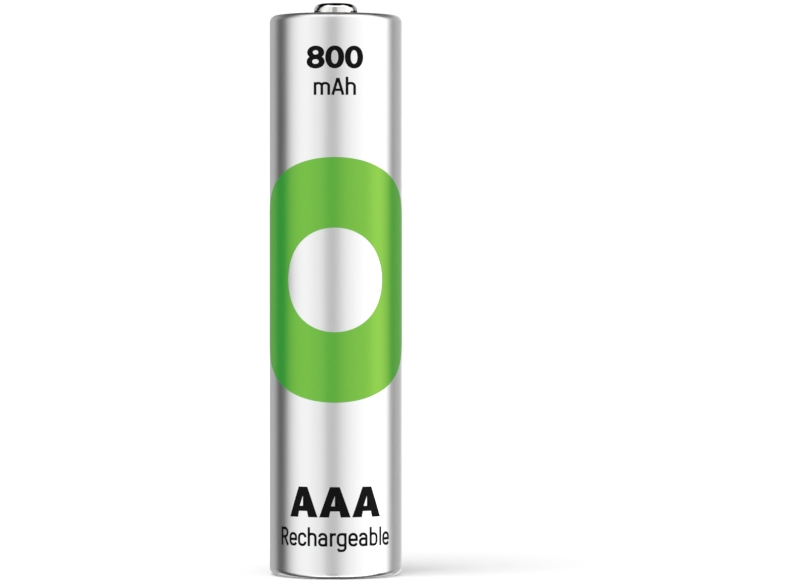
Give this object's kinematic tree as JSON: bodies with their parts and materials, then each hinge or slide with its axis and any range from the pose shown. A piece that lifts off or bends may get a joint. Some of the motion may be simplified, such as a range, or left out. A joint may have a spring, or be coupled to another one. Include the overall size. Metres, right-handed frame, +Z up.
{
  "type": "cylindrical battery cell",
  "caption": "Slim rechargeable nickel-metal hydride cell: plated can with a domed positive nub, a printed silver film label and a wound core behind a resealing vent",
  "frame": {"origin": "centre of the flat negative end, on the plane that the cell stands on", "axes": "+Z runs up the cell's axis through the positive nub, and -Y is the printed front of the label"},
  "size_m": [0.0104, 0.0104, 0.0444],
  "materials": {
    "label_film": "satin metallised polymer film, shrunk on and printed",
    "nickel_plate": "bright nickel plating on drawn steel",
    "white_washer": "matt white pressed fibre and plastic",
    "nylon": "moulded natural nylon",
    "bitumen": "tacky black bitumen film",
    "valve_rubber": "moulded black EPDM rubber",
    "weld_metal": "resistance-weld nuggets",
    "nickel_strip": "thin rolled nickel strip",
    "tape": "thin amber polyimide tape",
    "insulator": "punched white polypropylene sheet",
    "positive_paste": "pressed nickel hydroxide in nickel foam",
    "alloy_coat": "pressed hydrogen-storage alloy powder",
    "separator": "white nonwoven polyolefin"
  },
  "bodies": {
    "cell": {"steel_can": "nickel_plate", "label_sleeve": "label_film", "top_washer": "white_washer", "sealing_gasket": "nylon", "gasket_sealant": "bitumen", "cap_plate": "nickel_plate", "terminal_cap": "nickel_plate", "cap_welds": "weld_metal", "positive_tab": "nickel_strip", "tab_welds": "weld_metal", "tab_tape": "tape", "upper_insulator": "insulator", "lower_insulator": "insulator", "positive_plate": "positive_paste", "inner_separator": "separator", "outer_separator": "separator", "negative_inner_coat": "alloy_coat", "negative_strip": "nickel_strip", "negative_outer_coat": "alloy_coat"},
    "vent_valve": {"vent_plug": "valve_rubber"}
  },
  "joints": [
    {"name": "vent_lift", "type": "slide", "parent": "cell", "child": "vent_valve", "axis": [0, 0, 1], "range_m": [0, 0.00015], "stiffness_N_per_m": 4000, "springref_m": -0.0005, "deforming": ["vent_plug"]}
  ]
}
